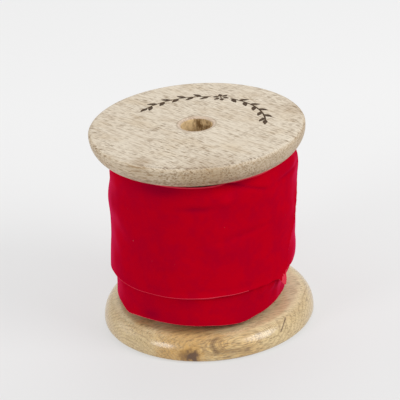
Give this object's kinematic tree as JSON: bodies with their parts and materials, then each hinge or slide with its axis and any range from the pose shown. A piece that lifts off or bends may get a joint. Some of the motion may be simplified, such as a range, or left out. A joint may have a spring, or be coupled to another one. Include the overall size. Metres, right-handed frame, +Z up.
{
  "type": "ribbon spool",
  "caption": "Turned wooden spool with two rounded flanges on a hollow barrel, wound with wide velvet ribbon whose free end lifts away from the roll.",
  "frame": {"origin": "centre of the spool's base, on the surface it stands on", "axes": "+Z up along the spool's axis; -Y to the front, where the last turn of ribbon ends on the right; +X to the right"},
  "size_m": [0.09, 0.09, 0.088],
  "materials": {
    "wood": "sanded and lightly waxed mango wood",
    "velvet": "deep red velvet pile",
    "tape": "clear double-sided tape"
  },
  "bodies": {
    "spool": {"bottom_flange": "wood", "top_flange": "wood", "barrel": "wood", "ribbon_roll": "velvet", "ribbon_last_turns": "velvet", "core_tape": "tape", "tail_tape": "tape"},
    "ribbon_tail": {"ribbon_tail": "velvet"}
  },
  "joints": [
    {"name": "tail_lift", "type": "hinge", "parent": "spool", "child": "ribbon_tail", "pos_m": [-0.00712, -0.03804, 0.052], "axis": [0, 0, -1], "range_deg": [0, 80]}
  ]
}
